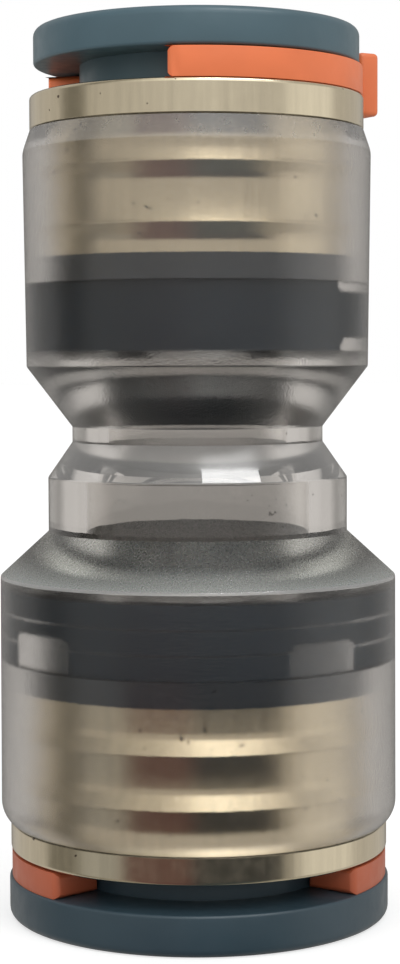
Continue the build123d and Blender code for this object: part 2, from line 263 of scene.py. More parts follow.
def port_properties(name, clip_gap, clip_azimuth, fingers, ribs):
    """The size properties of one port: those of PORT_SIZES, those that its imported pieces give,
    the clip's angles in degrees, and the counts."""
    column = 2 + PORTS.index(name)
    sizes = {
        size[0]: length(size[0].replace("_", " ").capitalize(), size[1], size[column] * MM)
        for size in PORT_SIZES
    }
    seal_radius, seal_floor, spacer_floor = measured(name, "seal_ring")
    spacer_radius, _, insert_floor = measured(name, "spacer_ring")
    lip_radius, _, lip_top = measured(name, "insert_ring")
    flange_radius, finger_tip, face = measured(name, "collet")
    return sizes | {
        "stop_height": length("Stop height", "Height of the tube's stop", stop_height(name)),
        "seat_radius": length("Seat radius", "Radius of the seal's seat", seal_radius + SEAT_PLAY),
        "socket_radius": length(
            "Socket radius", "Radius of the insert's socket", spacer_radius + SOCKET_PLAY
        ),
        "lip_radius": length("Lip radius", "Radius of the insert's lip", lip_radius),
        "flange_radius": length("Flange radius", "Radius of the collet's flange", flange_radius),
        "seal_floor": length("Seal floor", "Level of the seal's inner end", seal_floor),
        "spacer_floor": length("Spacer floor", "Level of the spacer's inner end", spacer_floor),
        "insert_floor": length("Insert floor", "Level of the insert's inner end", insert_floor),
        "lip_top": length("Lip top", "Level of the insert's outer face", lip_top),
        "finger_tip": length("Finger tip", "Level of the collet's finger tips", finger_tip),
        "face": length("Face", "Level of the collet's outer face", face),
        "clip_gap": angle("Clip opening", "Angle that the clip leaves open", clip_gap),
        "clip_azimuth": angle("Clip direction", "Direction of the clip's tab", clip_azimuth),
        "outward": count("Outward", "-1 for a mouth that faces down, 1 for up", OUTWARD[name]),
        "finger_count": count("Fingers", "Fingers of the collet", fingers),
        "seal_ribs": count("Seal ribs", "Ribs round the seal", ribs),
    }


class LargePort(PropertyGroup):
    """Sizes of the large port, which faces down."""

    __annotations__ = port_properties("large", 98.0, 93.0, fingers=8, ribs=3)


class SmallPort(PropertyGroup):
    """Sizes of the small port, which faces up."""

    __annotations__ = port_properties("small", 102.0, 29.5, fingers=6, ribs=1)


class CouplingWaist(PropertyGroup):
    """Sizes of the body between its two barrels."""

    collar_radius: length("Collar radius", "Radius of the polished collar", 8.84 * MM)
    neck_radius: length("Neck radius", "Radius of the body at its narrowest", 7.40 * MM)
    collar_cone: length("Collar cone", "Height of the cone below the collar", 2.60 * MM)
    collar_height: length("Collar height", "Height of the collar", 3.2 * MM)
    neck_cone: length("Neck cone", "Height of the cone above the collar", 2.07 * MM)
    neck_height: length("Neck height", "Height of the neck", 0.9 * MM)
    small_bore: length("Small bore", "Length of the small bore below its stop", 3.2 * MM)
    bore_cone: length("Bore cone", "Height of the cone between the two bores", 0.6 * MM)


class CouplingFinish(PropertyGroup):
    """Colours of the finishes, and the roughness of the moulded barrels. The large collet's and
    the large clip's colours are darkened with painted shade.
    """

    # The grey tint is partly the plastic's own and partly painted shade for the darker room seen
    # through the clear body
    plastic: colour("Clear plastic", "Tint of the clear body", 0.91, 0.89, 0.87)
    metal: colour("Plated metal", "Nickel plate of the inserts", 0.685, 0.61, 0.455)
    rubber: colour("Rubber", "Seals", 0.001, 0.014, 0.031)
    spacer: colour("Spacer plastic", "Backing rings", 0.001, 0.012, 0.028)
    # Painted shade: the large collet's colour is darker than the small collet's, for the shade on
    # the lower collet; the plastic is the same
    large_collet: colour("Large collet", "Plastic of the large collet", 0.031, 0.056, 0.073)
    small_collet: colour("Small collet", "Plastic of the small collet", 0.066, 0.118, 0.144)
    # Painted shade: the large clip's colour is darker than the small clip's, for the shade on the
    # lower clip; the plastic is the same
    large_clip: colour("Large clip", "Plastic of the large clip", 0.45, 0.106, 0.046)
    small_clip: colour("Small clip", "Plastic of the small clip", 0.84, 0.200, 0.070)
    steel: colour("Claw steel", "Claws in the collets", 0.60, 0.59, 0.57)
    floor: colour("Floor", "Plain floor that the coupling stands on", 0.52, 0.52, 0.52)
    frost: FloatProperty(
        name="Frost",
        description="Roughness of the body's moulded barrels",
        default=0.20,
        min=0.0,
        max=1.0,
        subtype="FACTOR",
    )


def port(name):
    """The sizes of the named port."""
    return getattr(bpy.context.scene, f"{name}_port")


def height(sizes, level):
    """Height of a port's level above the large collet's face."""
    return sizes.stop_height + sizes.outward * level


def place(sizes, corners):
    """Turns a port's (radius, level) corners into (radius, height) corners."""
    return [(corner[0], height(sizes, corner[1]), *corner[2:]) for corner in corners]


def mouth(sizes):
    """Level of the body's mouth, where the insert's lip sits."""
    return sizes.lip_top - sizes.lip_height


def pocket_radius(sizes):
    """Radius of the pocket that holds the tube's end."""
    return sizes.tube_radius + POCKET_CLEARANCE


def collet_bore(sizes):
    """Radius of the collet's bore."""
    return sizes.tube_radius + COLLET_BORE_CLEARANCE


def neck_radius(sizes):
    """Radius of the collet's neck."""
    return collet_bore(sizes) + NECK_WALL


def chamber_radius(sizes):
    """Radius of the room inside the insert where the collet's head sits."""
    return sizes.socket_radius - BARB_HEIGHT - INSERT_WALL


def rounded(corners, steps):
    """A closed outline with each (radius, height, rounding) corner turned into an arc."""
    outline = []
    for index, corner in enumerate(corners):
        point = Vector((corner[0], corner[1], 0))
        if len(corner) == 2:
            outline.append(point.xy)
            continue
        before = Vector((*corners[index - 1][:2], 0)) - point
        after = Vector((*corners[(index + 1) % len(corners)][:2], 0)) - point
        half = before.angle(after) / 2
        inwards = (before.normalized() + after.normalized()).normalized()
        centre = point + inwards * (corner[2] / sin(half))
        reach = corner[2] / tan(half)
        start = (point + before.normalized() * reach - centre).normalized()
        end = (point + after.normalized() * reach - centre).normalized()
        for step in range(steps + 1):
            outline.append((centre + start.slerp(end, step / steps) * corner[2]).xy)
    return outline


def nothing_selected():
    """Leaves edit mode and clears the selection, so that operators act on the new piece."""
    if bpy.context.object and bpy.context.object.mode != "OBJECT":
        bpy.ops.object.mode_set(mode="OBJECT")
    bpy.ops.object.select_all(action="DESELECT")


def pick(piece):
    """Selects the piece alone and makes it active."""
    nothing_selected()
    bpy.context.view_layer.objects.active = piece
    piece.select_set(True)


def edit(piece, mode="VERT"):
    """Opens the piece alone in edit mode, with all of it selected."""
    pick(piece)
    bpy.ops.object.mode_set(mode="EDIT")
    bpy.ops.mesh.select_mode(type=mode)
    bpy.ops.mesh.select_all(action="SELECT")


def close_up(piece, smooth_angle=SMOOTH_ANGLE):
    """Merges doubles, turns the faces outwards and smooths all but the sharp edges."""
    edit(piece)
    bpy.ops.mesh.remove_doubles(threshold=MERGE_DISTANCE)
    bpy.ops.mesh.normals_make_consistent(inside=False)
    bpy.ops.object.mode_set(mode="OBJECT")
    bpy.ops.object.shade_smooth_by_angle(angle=radians(smooth_angle))


def turn(name, corners, steps=5):
    """A turned ring: a circle is drawn at the first corner, then its edge is extruded, raised
    and scaled from corner to corner until the outline closes."""
    outline = rounded(corners, steps)
    nothing_selected()
    bpy.ops.mesh.primitive_circle_add(
        vertices=SEGMENTS, radius=outline[0][0], location=(0, 0, outline[0][1])
    )
    piece = bpy.context.object
    piece.name = name
    bpy.ops.object.transform_apply(location=True, rotation=False, scale=False)
    edit(piece, "EDGE")
    for start, end in zip(outline, outline[1:] + outline[:1]):
        rise = (0, 0, end[1] - start[1])
        grow = end[0] / start[0]
        bpy.ops.mesh.extrude_edges_move(TRANSFORM_OT_translate={"value": rise})
        bpy.ops.transform.resize(value=(grow, grow, 1), center_override=(0, 0, end[1]))
    close_up(piece)
    return piece


def block(name, low, high):
    """A box between two corners, with its place in its mesh."""
    nothing_selected()
    low, high = Vector(low), Vector(high)
    bpy.ops.mesh.primitive_cube_add(size=1, location=(low + high) / 2, scale=high - low)
    piece = bpy.context.object
    piece.name = name
    bpy.ops.object.transform_apply(location=True, rotation=True, scale=True)
    return piece


def swing(piece, turned_by):
    """Turns a piece's mesh about the coupling's axis."""
    piece.data.transform(Matrix.Rotation(turned_by, 4, "Z"))


def copies_round(piece, count, first):
    """Copies of a piece at even steps round the axis, joined with it into one mesh."""
    row = [piece]
    for number in range(1, count):
        copy = piece.copy()
        copy.data = piece.data.copy()
        bpy.context.collection.objects.link(copy)
        swing(copy, number * 2 * pi / count)
        row.append(copy)
    pick(piece)
    for copy in row:
        copy.select_set(True)
    bpy.ops.object.join()
    swing(piece, first)
    return piece


def combine(piece, other, operation):
    """Applies a boolean between two closed pieces and removes the second one."""
    modifier = piece.modifiers.new(operation.lower(), "BOOLEAN")
    modifier.operation = operation
    modifier.solver = "EXACT"
    modifier.object = other
    pick(piece)
    bpy.ops.object.modifier_apply(modifier=modifier.name)
    bpy.data.objects.remove(other)


def soften_edges(piece, width, segments, smooth_angle):
    """Rounds every edge that is sharper than the angle."""
    modifier = piece.modifiers.new("rounding", "BEVEL")
    modifier.width = width
    modifier.segments = segments
    modifier.limit_method = "ANGLE"
    modifier.angle_limit = radians(smooth_angle)
    pick(piece)
    bpy.ops.object.modifier_apply(modifier=modifier.name)


def seat(piece, body, node, slot, *materials):
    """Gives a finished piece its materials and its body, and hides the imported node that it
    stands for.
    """
    for material in materials:
        piece.data.materials.append(material)
    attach(piece, body)
    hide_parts(node)


def node(tree, kind, **settings):
    """A new shader node with its settings."""
    made = tree.nodes.new(f"ShaderNode{kind}")
    for setting, value in settings.items():
        setattr(made, setting, value)
    return made


def feed(tree, socket, source):
    """Links a socket to a source, or sets it to a plain value."""
    if isinstance(source, bpy.types.NodeSocket):
        tree.links.new(source, socket)
    else:
        socket.default_value = source


def mixed(tree, factor, first, second):
    """A colour between two others."""
    mix = node(tree, "Mix", data_type="RGBA")
    for index, source in ((0, factor), (6, first), (7, second)):
        feed(tree, mix.inputs[index], source)
    return mix.outputs[2]


def calculated(tree, operation, *values):
    """The result of a Math node."""
    result = node(tree, "Math", operation=operation)
    for index, source in enumerate(values):
        feed(tree, result.inputs[index], source)
    return result.outputs[0]


def ranged(tree, value, from_low, from_high, to_low, to_high):
    """A value moved from one range into another, and held in it."""
    change = node(tree, "MapRange")
    for index, source in enumerate((value, from_low, from_high, to_low, to_high)):
        feed(tree, change.inputs[index], source)
    return change.outputs[0]


def grain(tree, scale, stretch=(1, 1, 1), detail=3):
    """Noise over Object coordinates. The scale is in grains per metre."""
    coordinates = node(tree, "TexCoord")
    mapping = node(tree, "Mapping")
    noise = node(tree, "TexNoise")
    tree.links.new(coordinates.outputs["Object"], mapping.inputs["Vector"])
    tree.links.new(mapping.outputs["Vector"], noise.inputs["Vector"])
    mapping.inputs["Scale"].default_value = stretch
    noise.inputs["Scale"].default_value = scale
    noise.inputs["Detail"].default_value = detail
    return noise.outputs["Fac"]


def painted(name, shade, **settings):
    """A new material of one colour. Settings are sockets of its shader, by name."""
    material = bpy.data.materials.new(name)
    material.use_nodes = True
    tree = material.node_tree
    shader = tree.nodes["Principled BSDF"]
    shader.inputs["Base Color"].default_value = (*shade, 1)
    for socket, value in settings.items():
        shader.inputs[socket.replace("_", " ")].default_value = value
    return material, tree, shader


def vary_roughness(tree, shader, noise, low, high):
    """Lets the noise move the shader's roughness."""
    roughness = ranged(tree, noise, NOISE_LOW, NOISE_HIGH, low, high)
    tree.links.new(roughness, shader.inputs["Roughness"])


def vary_colour(tree, shader, noise, shade, change):
    """Lets the noise darken and lighten the shader's colour by a share."""
    darker = (*(part * (1 - change) for part in shade), 1)
    lighter = (*(min(1, part * (1 + change)) for part in shade), 1)
    share = ranged(tree, noise, NOISE_LOW, NOISE_HIGH, 0, 1)
    tree.links.new(mixed(tree, share, darker, lighter), shader.inputs["Base Color"])


def add_specks(tree, shader, noise, shade):
    """Lets the noise's peaks show as small specks of another colour."""
    below = shader.inputs["Base Color"]
    ground = below.links[0].from_socket if below.links else tuple(below.default_value)
    specks = ranged(tree, noise, SPECK_START, SPECK_START + SPECK_EDGE, 0, 1)
    tree.links.new(mixed(tree, specks, ground, (*shade, 1)), below)


def raise_surface(tree, shader, noise, depth):
    """Lets the noise stand up from the surface by a depth in metres."""
    bump = node(tree, "Bump")
    bump.inputs["Distance"].default_value = depth
    tree.links.new(noise, bump.inputs["Height"])
    tree.links.new(bump.outputs["Normal"], shader.inputs["Normal"])


def clear_plastic(name, finish, haze):
    """The body's clear plastic. Haze is the share of light that its surface scatters."""
    # The tint is partly the plastic's own and partly painted shade for the room seen through it
    return painted(name, finish.plastic, IOR=REFRACTION, Transmission_Weight=1.0 - haze)


def along_axis(tree, low, high, at_low, at_high):
    """A value that changes with the height, between two heights, and is held past them."""
    place_on_axis = node(tree, "SeparateXYZ")
    tree.links.new(node(tree, "TexCoord").outputs["Object"], place_on_axis.inputs[0])
    return ranged(tree, place_on_axis.outputs["Z"], low, high, at_low, at_high)


def frosted_plastic(finish):
    """The barrels and the upper cone, as they left a spark-eroded mould: satin and speckled."""
    material, tree, shader = clear_plastic("frosted_clear_plastic", finish, 0.0)
    vary_roughness(tree, shader, grain(tree, 7000), finish.frost * 0.7, finish.frost * 1.3)
    raise_surface(tree, shader, grain(tree, 8000), 0.015 * MM)
    return material


def hazy_plastic(finish, low, high):
    """The lower cone: tinted a little green, which paints in the greenish light that it reflects,
    and hazier towards its foot, between two heights.
    """
    # The green tint is a painted reflection of greenish light
    material, tree, shader = painted("hazy_clear_plastic", (0.87, 0.90, 0.85), IOR=REFRACTION)
    clear_share = along_axis(tree, low, high, 0.72, 0.97)
    tree.links.new(clear_share, shader.inputs["Transmission Weight"])
    vary_roughness(tree, shader, grain(tree, 7000), finish.frost, finish.frost * 1.8)
    raise_surface(tree, shader, grain(tree, 9000, detail=2), 0.012 * MM)
    return material


def rubbed_plastic(name, finish, haze, roughness):
    """An edge of a barrel that was rubbed by handling: its shoulder or its tapered mouth."""
    material, tree, shader = clear_plastic(name, finish, haze)
    vary_roughness(tree, shader, grain(tree, 1800), roughness * 0.5, roughness * 1.5)
    raise_surface(tree, shader, grain(tree, 5000, detail=2), 0.005 * MM)
    return material


def polished_plastic(finish):
    """The clear plastic where its mould was polished: collar, neck and all inner walls."""
    material, tree, shader = clear_plastic("polished_clear_plastic", finish, 0.0)
    vary_roughness(tree, shader, grain(tree, 700), 0.02, 0.05)
    add_specks(tree, shader, grain(tree, 1900, detail=1), (0.08, 0.07, 0.06))
    raise_surface(tree, shader, grain(tree, 420, detail=2), 0.012 * MM)
    return material


def wiped_plastic(finish, low, high):
    """The cone over the collar: polished at its foot, and dulled by handling above it."""
    material, tree, shader = clear_plastic("wiped_clear_plastic", finish, 0.17)
    dullness = along_axis(tree, low, high, 0.03, 0.26)
    tree.links.new(dullness, shader.inputs["Roughness"])
    raise_surface(tree, shader, grain(tree, 420, detail=2), 0.012 * MM)
    return material


def plated_metal(finish):
    """Nickel plate over turned brass, with the fine rings that the lathe left."""
    material, tree, shader = painted("plated_turned_metal", finish.metal, Metallic=1.0)
    vary_roughness(tree, shader, grain(tree, 1500), 0.16, 0.22)
    vary_colour(tree, shader, grain(tree, 2600, stretch=(1, 1, 0.06)), finish.metal, 0.05)
    add_specks(tree, shader, grain(tree, 2400, detail=1), (0.16, 0.12, 0.09))
    lathe_rings = grain(tree, 9000, stretch=(0.03, 0.03, 1), detail=2)
    raise_surface(tree, shader, lathe_rings, 0.0006 * MM)
    return material


def seal_rubber(finish):
    """Black moulded rubber."""
    material, tree, shader = painted("seal_rubber", finish.rubber)
    vary_roughness(tree, shader, grain(tree, 1200), 0.36, 0.50)
    raise_surface(tree, shader, grain(tree, 2600), 0.004 * MM)
    return material


def moulded_plastic(name, shade, roughness):
    """Opaque moulded plastic with a faint texture."""
    material, tree, shader = painted(name, shade)
    vary_colour(tree, shader, grain(tree, 300), shade, 0.05)
    vary_roughness(tree, shader, grain(tree, 1100), roughness * 0.85, roughness * 1.15)
    raise_surface(tree, shader, grain(tree, 3200), 0.005 * MM)
    return material


def claw_steel(finish):
    """Stamped spring steel, brushed along its strip."""
    material, tree, shader = painted("claw_steel", finish.steel, Metallic=1.0)
    vary_roughness(tree, shader, grain(tree, 2400, stretch=(1, 1, 0.1)), 0.22, 0.36)
    raise_surface(tree, shader, grain(tree, 4200, stretch=(1, 1, 0.1)), 0.003 * MM)
    return material


def barrel_outline(sizes):
    """Outer corners of one barrel, from its shoulder to its mouth."""
    return [
        (sizes.foot_radius, sizes.shoulder, SHOULDER_ROUNDING),
        (sizes.barrel_radius, mouth(sizes) - sizes.taper, KNEE_ROUNDING),
        (sizes.lip_radius, mouth(sizes)),
    ]


def socket_outline(sizes):
    """Inner corners of one port of the body, from its mouth to the ledge at its stop."""
    pocket = pocket_radius(sizes)
    return [
        (sizes.socket_radius, mouth(sizes)),
        (sizes.socket_radius, sizes.spacer_floor),
        (sizes.seat_radius, sizes.spacer_floor),
        (sizes.seat_radius, sizes.seal_floor),
        (pocket + POCKET_LEAD_IN, sizes.seal_floor),
        (pocket, sizes.seal_floor - POCKET_LEAD_IN),
        (pocket, 0),
        (sizes.ledge_radius, 0),
    ]


def waist_outline(waist, large):
    """Outer corners between the two barrels, and the height of the collar's foot and neck."""
    collar_foot = height(large, large.shoulder) + waist.collar_cone
    collar_top = collar_foot + waist.collar_height
    neck_foot = collar_top + waist.neck_cone
    return [
        (waist.collar_radius, collar_foot),
        (waist.collar_radius, collar_top, SHOULDER_ROUNDING),
        (waist.neck_radius, neck_foot),
        (waist.neck_radius, neck_foot + waist.neck_height),
    ]


def bore_outline(waist, large, small):
    """Inner corners between the two stops."""
    step = small.stop_height - waist.small_bore
    return [(small.ledge_radius, step), (large.ledge_radius, step - waist.bore_cone)]


def finish_number(face, cone_foot, collar_foot, collar_top, neck_foot, neck_top, taper_foot):
    """The number of the finish on one of the body's faces, by the heights of its features."""
    centre = face.center
    if face.normal.x * centre.x + face.normal.y * centre.y <= 0:
        return POLISHED
    if abs(centre.z - cone_foot) < RIM_HEIGHT / 2:
        return SHOULDER
    if centre.z > taper_foot:
        return MOUTH
    if cone_foot < centre.z < collar_foot:
        return HAZY
    if collar_top < centre.z < neck_foot:
        return WIPED
    return POLISHED if collar_foot < centre.z < neck_top else FROSTED


class COUPLING_OT_clear_body(Operator):
    """Turns the clear body and frosts its barrels and cones"""

    bl_idname = "coupling.clear_body"
    bl_label = "Clear body"

    def execute(self, context):
        waist, large, small = context.scene.coupling_waist, port("large"), port("small")
        middle = waist_outline(waist, large)
        piece = turn(
            "clear_body",
            place(large, barrel_outline(large))[::-1]
            + middle
            + place(small, barrel_outline(small))
            + place(small, socket_outline(small))
            + bore_outline(waist, large, small)
            + place(large, socket_outline(large))[::-1],
            steps=6,
        )
        collar_foot, collar_top, neck_foot, neck_top = (corner[1] for corner in middle)
        cone_foot = height(large, large.shoulder)
        taper_foot = height(small, mouth(small) - small.taper)
        for face in piece.data.polygons:
            face.material_index = finish_number(
                face, cone_foot, collar_foot, collar_top, neck_foot, neck_top, taper_foot
            )
        finish = context.scene.coupling_finish
        seat(
            piece,
            "coupling",
            "coupling_body",
            "clear_body",
            frosted_plastic(finish),
            polished_plastic(finish),
            hazy_plastic(finish, cone_foot, (cone_foot + collar_foot) / 2),
            wiped_plastic(finish, collar_top + DULL_FROM, collar_top + DULL_TO),
            rubbed_plastic("shoulder_clear_plastic", finish, 0.30, 0.10),
            rubbed_plastic("mouth_clear_plastic", finish, 0.12, 0.20),
        )
        return {"FINISHED"}


def insert_outline(sizes):
    """The insert's barbs outside, and its mouth, cone and chamber inside."""
    land = sizes.socket_radius - BARB_HEIGHT
    crest = sizes.socket_radius - BARB_CLEARANCE
    corners = [(land, sizes.insert_floor)]
    room = mouth(sizes) - sizes.insert_floor - sizes.first_barb
    for barb in range(int(room / sizes.barb_pitch) + 1):
        top = sizes.insert_floor + sizes.first_barb + barb * sizes.barb_pitch
        corners += [
            (land, top - BARB_CREST - sizes.barb_cone, BARB_HOLLOW),
            (crest, top - BARB_CREST, EDGE_BREAK),
            (crest, top, EDGE_BREAK),
            (land, top, EDGE_BREAK),
        ]
    cone_top = sizes.lip_top - INSERT_MOUTH
    bore = neck_radius(sizes) + SLIDE_CLEARANCE
    chamfer = INSERT_CHAMFER
    return corners + [
        (land, mouth(sizes)),
        (sizes.lip_radius - chamfer / 2, mouth(sizes)),
        (sizes.lip_radius, mouth(sizes) + chamfer / 2),
        (sizes.lip_radius, sizes.lip_top - RIM_ROW),
        (sizes.lip_radius, sizes.lip_top, chamfer),
        (bore + chamfer, sizes.lip_top),
        (bore, sizes.lip_top - chamfer),
        (bore, cone_top),
        (chamber_radius(sizes), cone_top - INSERT_CONE),
        (chamber_radius(sizes), sizes.insert_floor),
    ]


class COUPLING_OT_inserts(Operator):
    """Turns the two barbed metal inserts"""

    bl_idname = "coupling.inserts"
    bl_label = "Metal inserts"

    def execute(self, context):
        metal = plated_metal(context.scene.coupling_finish)
        for name in PORTS:
            sizes = port(name)
            piece = turn(f"{name}_barbed_insert", place(sizes, insert_outline(sizes)), steps=4)
            seat(piece, "coupling", f"{name}_insert_ring", "plated_brass", metal)
        return {"FINISHED"}


def seal_wall(sizes):
    """The seal's outer line from its inner end to its outer end, in short rows."""
    tall = sizes.spacer_floor - sizes.seal_floor
    rib = tall / sizes.seal_ribs
    rows = round((rib - GROOVE_HEIGHT) / SEAL_ROW)
    outer = sizes.seat_radius + SEAL_CONTACT
    line = []
    for number in range(sizes.seal_ribs):
        start = sizes.seal_floor + number * rib + (GROOVE_HEIGHT / 2 if number else 0)
        end = sizes.seal_floor + (number + 1) * rib
        end -= GROOVE_HEIGHT / 2 if number < sizes.seal_ribs - 1 else 0
        line += [(outer, start + (end - start) * row / rows) for row in range(rows + 1)]
        if number < sizes.seal_ribs - 1:
            line += [(outer - GROOVE_DEPTH, end), (outer - GROOVE_DEPTH, end + GROOVE_HEIGHT)]
    return line


def seal_outline(sizes):
    """The seal: ribs outside against the body, and a sloped lip inside against the tube."""
    back = sizes.seat_radius - SEAL_BACK
    grip = sizes.tube_radius + SEAL_GRIP
    lip_top = sizes.spacer_floor - SEAL_SLOPE
    return seal_wall(sizes) + [
        (back, sizes.spacer_floor),
        (grip, lip_top),
        (grip, lip_top - SEAL_LAND),
        (back, lip_top - SEAL_LAND - SEAL_SLOPE),
        (back, sizes.seal_floor),
    ]


def in_pocket(point, radius, pocket):
    """True for a point of the seal's outer wall that lies in the round-cornered pocket."""
    middle, width, low, high = pocket
    around = abs(atan2(point.x, -point.y) - radians(middle)) * radius
    upwards = abs(point.z - (low + high) / 2 * MM)
    past_side = around - radians(width) * radius / 2 + POCKET_CORNER
    past_end = upwards - (high - low) / 2 * MM + POCKET_CORNER
    corner = Vector((max(past_side, 0), max(past_end, 0))).length
    return corner < POCKET_CORNER


def loosen(piece, sizes, pockets):
    """Moves the seal's outer wall inwards at its pockets, so that air lies before it there."""
    outer = sizes.seat_radius + SEAL_CONTACT
    for vertex in piece.data.vertices:
        radius = vertex.co.xy.length
        on_wall = radius > outer - 2 * SEAL_CONTACT
        if on_wall and any(in_pocket(vertex.co, radius, pocket) for pocket in pockets):
            vertex.co.xy *= (radius - POCKET_GAP) / radius


class COUPLING_OT_seals(Operator):
    """Turns the two rubber seals"""

    bl_idname = "coupling.seals"
    bl_label = "Seals"

    def execute(self, context):
        rubber = seal_rubber(context.scene.coupling_finish)
        for name in PORTS:
            sizes = port(name)
            piece = turn(f"{name}_lip_seal", place(sizes, seal_outline(sizes)))
            loosen(piece, sizes, SEAL_POCKETS[name])
            seat(piece, "coupling", f"{name}_seal_ring", "seal_rubber", rubber)
        return {"FINISHED"}


def spacer_outline(sizes):
    """The spacer: a flat ring with broken inner edges."""
    inner = pocket_radius(sizes)
    outer = sizes.socket_radius - SOCKET_PLAY
    floor, top, chamfer = sizes.spacer_floor, sizes.insert_floor, SPACER_CHAMFER
    return [
        (inner, floor + chamfer),
        (inner + chamfer, floor),
        (outer, floor),
        (outer, top),
        (inner + chamfer, top),
        (inner, top - chamfer),
    ]


class COUPLING_OT_spacers(Operator):
    """Turns the two black spacers behind the seals"""

    bl_idname = "coupling.spacers"
    bl_label = "Spacers"

    def execute(self, context):
        plastic = moulded_plastic("black_plastic", context.scene.coupling_finish.spacer, 0.40)
        for name in PORTS:
            sizes = port(name)
            piece = turn(f"{name}_spacer", place(sizes, spacer_outline(sizes)))
            seat(piece, "coupling", f"{name}_spacer_ring", "black_plastic", plastic)
        return {"FINISHED"}


def slot_top(sizes):
    """Level where a slot between two fingers ends."""
    return sizes.lip_top - SLOT_MARGIN


def collet_outline(sizes):
    """The collet: flange, neck and wedge-shaped head."""
    bore, neck = collet_bore(sizes), neck_radius(sizes)
    finger_bore = bore + FINGER_RELIEF
    head = chamber_radius(sizes) - HEAD_CLEARANCE
    head_top = sizes.finger_tip + HEAD_LENGTH
    flange_floor = sizes.face - sizes.flange_height
    return [
        (finger_bore, sizes.finger_tip),
        (head - HEAD_CHAMFER, sizes.finger_tip),
        (head, sizes.finger_tip + HEAD_CHAMFER),
        (head, head_top),
        (neck, head_top + HEAD_CONE),
        (neck, flange_floor),
        (sizes.flange_radius, flange_floor, FLANGE_INNER_ROUNDING),
        (sizes.flange_radius, sizes.face, FLANGE_OUTER_ROUNDING),
        (bore + FLANGE_LEAD_IN, sizes.face),
        (bore, sizes.face - FLANGE_LEAD_IN),
        (bore, slot_top(sizes)),
        (finger_bore, slot_top(sizes) - FINGER_RELIEF),
    ]


def slot_cutter(sizes):
    """A bar with one round end, as long as a slot between two fingers, on the +X side."""
    inner = collet_bore(sizes) / 2
    outer = sizes.socket_radius
    round_centre = height(sizes, slot_top(sizes) - SLOT_WIDTH / 2)
    bpy.ops.mesh.primitive_cylinder_add(
        vertices=SLOT_SEGMENTS,
        radius=SLOT_WIDTH / 2,
        depth=outer - inner,
        location=((inner + outer) / 2, 0, round_centre),
        rotation=(0, pi / 2, 0),
    )
    cutter = bpy.context.object
    bpy.ops.object.transform_apply(location=True, rotation=True, scale=True)
    end = height(sizes, sizes.finger_tip - SLOT_WIDTH)
    for vertex in cutter.data.vertices:
        if (vertex.co.z - round_centre) * sizes.outward < -MERGE_DISTANCE:
            vertex.co.z += end - round_centre
    return cutter


class COUPLING_OT_collets(Operator):
    """Turns the two collets and cuts the slots between their fingers"""

    bl_idname = "coupling.collets"
    bl_label = "Collets"

    def execute(self, context):
        for name in PORTS:
            sizes = port(name)
            # For the large port this colour is darkened with painted shade
            shade = getattr(context.scene.coupling_finish, f"{name}_collet")
            plastic = moulded_plastic(f"{name}_collet_plastic", shade, 0.38)
            piece = turn(f"{name}_slotted_collet", place(sizes, collet_outline(sizes)), steps=6)
            nothing_selected()
            pitch = 2 * pi / sizes.finger_count
            cutters = copies_round(slot_cutter(sizes), sizes.finger_count, pitch / 2)
            combine(piece, cutters, "DIFFERENCE")
            close_up(piece)
            seat(piece, f"{name}_collet", f"{name}_collet", "collet_plastic", plastic)
        return {"FINISHED"}


def clip_levels(sizes):
    """Lower and upper height of the clip's ring."""
    floor = sizes.lip_top + sizes.clip_lift
    return sorted((height(sizes, floor), height(sizes, floor + sizes.clip_thickness)))


def clip_ring(name, sizes):
    """The clip's open ring: a flat section, spun round the neck, with its ends rounded."""
    inner = neck_radius(sizes) + CLIP_BORE_CLEARANCE
    outer = sizes.lip_radius - CLIP_INSET
    low, high = clip_levels(sizes)
    nothing_selected()
    bpy.ops.mesh.primitive_plane_add(
        size=1, location=((inner + outer) / 2, 0, (low + high) / 2), rotation=(pi / 2, 0, 0)
    )
    piece = bpy.context.object
    piece.name = name
    piece.scale = (outer - inner, high - low, 1)
    bpy.ops.object.transform_apply(location=True, rotation=True, scale=True)
    edit(piece)
    bpy.ops.mesh.spin(
        steps=CLIP_SEGMENTS, angle=2 * pi - sizes.clip_gap, center=(0, 0, 0), axis=(0, 0, 1)
    )
    bpy.ops.mesh.select_all(action="SELECT")
    bpy.ops.mesh.normals_make_consistent(inside=False)
    bpy.ops.mesh.select_all(action="DESELECT")
    bpy.ops.object.mode_set(mode="OBJECT")
    swept = [atan2(v.co.y, v.co.x) % (2 * pi) for v in piece.data.vertices]
    middle = pi - sizes.clip_gap / 2
    turns_back = max(swept) > 2 * pi - sizes.clip_gap + 10 * ANGLE_TOLERANCE
    for edge in piece.data.edges:
        first, second = (piece.data.vertices[index].co for index in edge.vertices)
        upright = abs(first.z - second.z) > 0.5 * (high - low)
        edge.select = upright and at_clip_end(first, sizes, turns_back)
    pick(piece)
    bpy.ops.object.mode_set(mode="EDIT")
    bpy.ops.mesh.select_mode(type="EDGE")
    bpy.ops.mesh.bevel(offset=CLIP_END_ROUNDING, segments=4, affect="EDGES")
    bpy.ops.object.mode_set(mode="OBJECT")
    swing(piece, sizes.clip_azimuth + (middle if turns_back else -middle))
    return piece


def at_clip_end(point, sizes, turns_back):
    """True for a point on either end of the newly spun ring, which starts on the +X side."""
    spun = atan2(point.y, point.x) * (-1 if turns_back else 1) % (2 * pi)
    from_start = min(spun, 2 * pi - spun)
    from_end = abs(spun - 2 * pi + sizes.clip_gap)
    return min(from_start, from_end) < ANGLE_TOLERANCE


